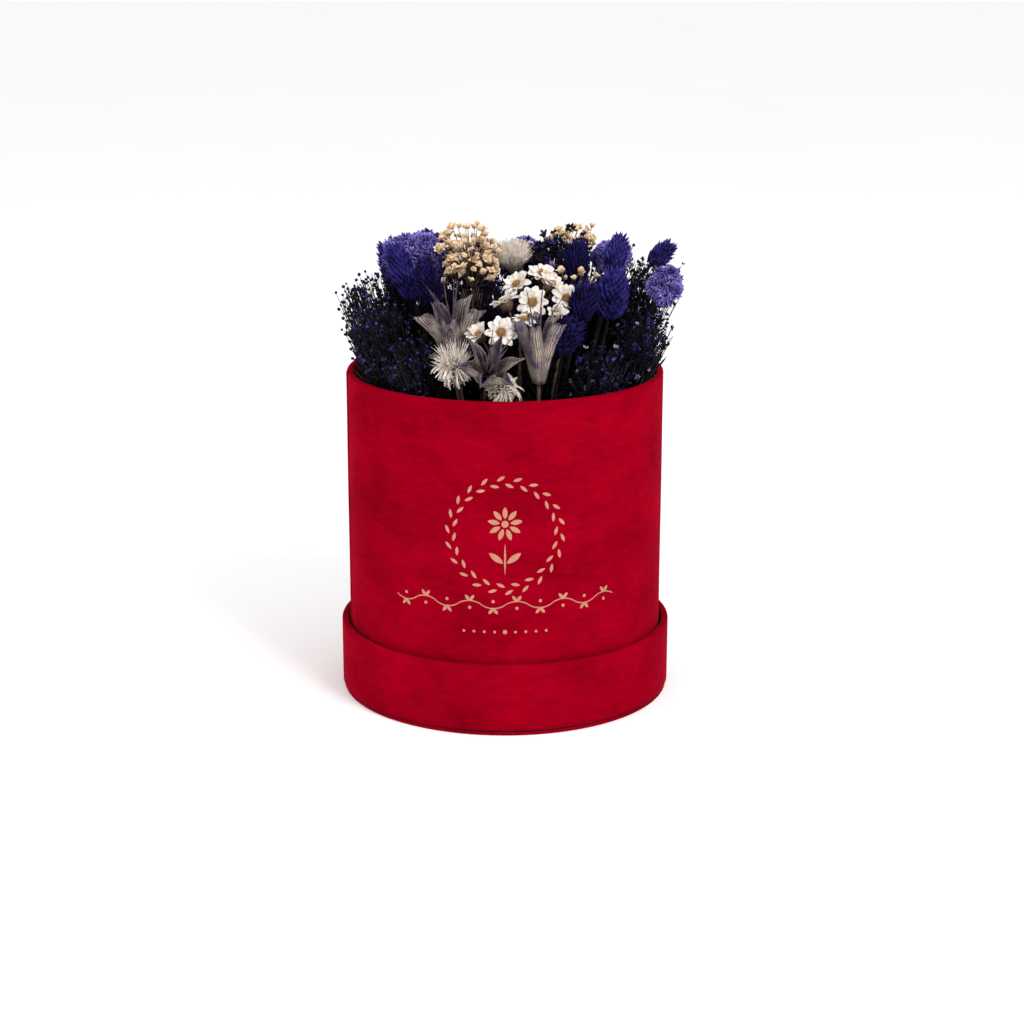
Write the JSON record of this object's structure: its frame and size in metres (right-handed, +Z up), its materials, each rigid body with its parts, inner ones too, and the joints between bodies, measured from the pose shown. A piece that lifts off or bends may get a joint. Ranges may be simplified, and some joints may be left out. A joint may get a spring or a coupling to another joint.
{
  "type": "flower box",
  "caption": "Round velvet-covered hat box standing in its own upturned lid, filled with a dried flower arrangement in dry foam.",
  "frame": {"origin": "middle of the lid's underside, on the surface that the flower box stands on", "axes": "+Z up, along the middle line of the box and the lid; the printed front faces -Y; +X to the right as the front is looked at"},
  "size_m": [0.1626, 0.1588, 0.2267],
  "materials": {
    "velvet": "matte",
    "greyboard": "matte",
    "lining_paper": "matte",
    "foil": "satin",
    "dry_foam": "matte",
    "canary_grass": "matte",
    "lilac_head": "matte",
    "nigella_pod": "matte",
    "bristle_head": "matte",
    "tan_spray": "matte",
    "daisy": "matte",
    "filler_spray": "matte"
  },
  "bodies": {
    "lid": {"lid_collar_board": "greyboard", "lid_collar_lining": "lining_paper", "lid_collar_velvet": "velvet", "lid_top_board": "greyboard", "lid_top_lining": "lining_paper", "lid_top_velvet": "velvet"},
    "box": {"box_floor_board": "greyboard", "box_floor_lining": "lining_paper", "box_floor_velvet": "velvet", "box_wall_board": "greyboard", "box_wall_lining": "lining_paper", "box_wall_velvet": "velvet", "bristle_head_1": "bristle_head", "bristle_head_2": "bristle_head", "bristle_head_3": "bristle_head", "bristle_head_4": "bristle_head", "canary_grass_1": "canary_grass", "canary_grass_10": "canary_grass", "canary_grass_2": "canary_grass", "canary_grass_3": "canary_grass", "canary_grass_4": "canary_grass", "canary_grass_5": "canary_grass", "canary_grass_6": "canary_grass", "canary_grass_7": "canary_grass", "canary_grass_8": "canary_grass", "canary_grass_9": "canary_grass", "daisies_back": "daisy", "daisies_front": "daisy", "daisies_middle": "daisy", "filler_spray_1": "filler_spray", "filler_spray_10": "filler_spray", "filler_spray_11": "filler_spray", "filler_spray_12": "filler_spray", "filler_spray_13": "filler_spray", "filler_spray_14": "filler_spray", "filler_spray_2": "filler_spray", "filler_spray_3": "filler_spray", "filler_spray_4": "filler_spray", "filler_spray_5": "filler_spray", "filler_spray_6": "filler_spray", "filler_spray_7": "filler_spray", "filler_spray_8": "filler_spray", "filler_spray_9": "filler_spray", "foam_block": "dry_foam", "foil_dots": "foil", "foil_sprig": "foil", "foil_vine": "foil", "foil_wreath": "foil", "lilac_head_1": "lilac_head", "lilac_head_2": "lilac_head", "lilac_head_3": "lilac_head", "lilac_head_4": "lilac_head", "nigella_pod_1": "nigella_pod", "nigella_pod_2": "nigella_pod", "nigella_pod_3": "nigella_pod", "nigella_pod_4": "nigella_pod", "tan_spray_1": "tan_spray", "tan_spray_2": "tan_spray", "tan_spray_3": "tan_spray", "tan_spray_4": "tan_spray"}
  },
  "joints": [
    {"name": "box_lift", "type": "slide", "parent": "lid", "child": "box", "axis": [0, 0, 1], "range_m": [0, 0.06]}
  ]
}
